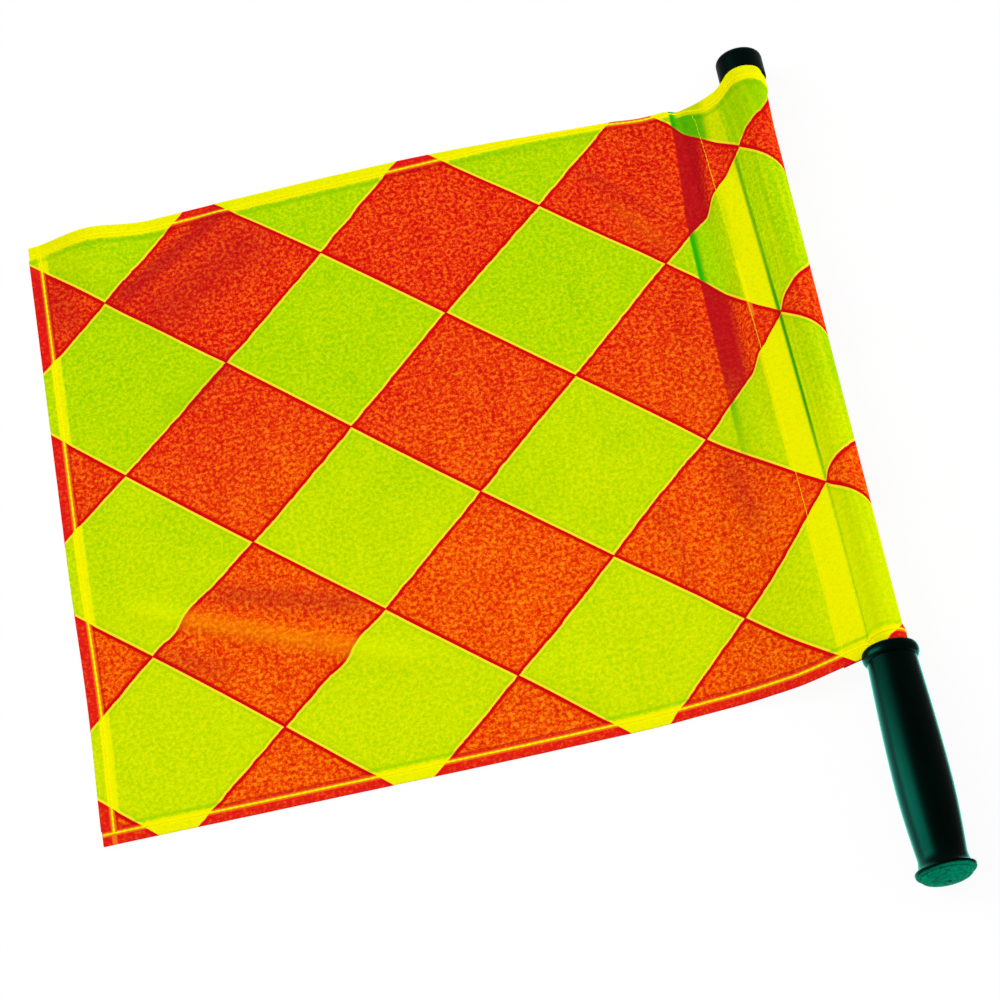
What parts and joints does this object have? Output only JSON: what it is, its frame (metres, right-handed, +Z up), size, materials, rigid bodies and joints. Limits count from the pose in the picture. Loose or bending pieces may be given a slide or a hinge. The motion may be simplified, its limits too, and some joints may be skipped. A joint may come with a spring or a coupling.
{
  "type": "linesman flag",
  "caption": "Assistant referee's hand flag: checked cloth sewn into a sleeve that turns on a straight tube with a moulded grip and an end cap.",
  "frame": {"origin": "on the surface that the flag lies on, under the middle of the whole flag", "axes": "+Y along the tube from the grip to the cap, +X from the cloth towards the tube, +Z up off the surface"},
  "size_m": [0.4612, 0.5274, 0.0336],
  "materials": {
    "tube": "satin drawn tube",
    "grip": "smooth moulded, soft sheen",
    "cap": "smooth moulded, soft sheen",
    "cloth": "matt woven cloth, fluorescent yellow and orange-red diamonds",
    "hem": "matt woven cloth, doubled",
    "thread": "sewing thread"
  },
  "bodies": {
    "pole": {"pole_tube": "tube", "hand_grip": "grip"},
    "cloth": {"flag_panel": "cloth", "pole_sleeve": "cloth", "top_hem": "hem", "bottom_hem": "hem", "fly_hem": "hem", "sleeve_top_hem": "hem", "sleeve_bottom_hem": "hem", "top_stitching": "thread", "bottom_stitching": "thread", "fly_stitching": "thread", "sleeve_stitching": "thread"},
    "cap": {"end_cap": "cap"}
  },
  "joints": [
    {"name": "cloth_swivel", "type": "hinge", "parent": "pole", "child": "cloth", "pos_m": [0.21385, -0.26374, 0.01684], "axis": [0, 1, -0.0054], "continuous": true},
    {"name": "cap_pull", "type": "slide", "parent": "pole", "child": "cap", "axis": [0, 1, -0.0054], "range_m": [0, 0.02]}
  ]
}
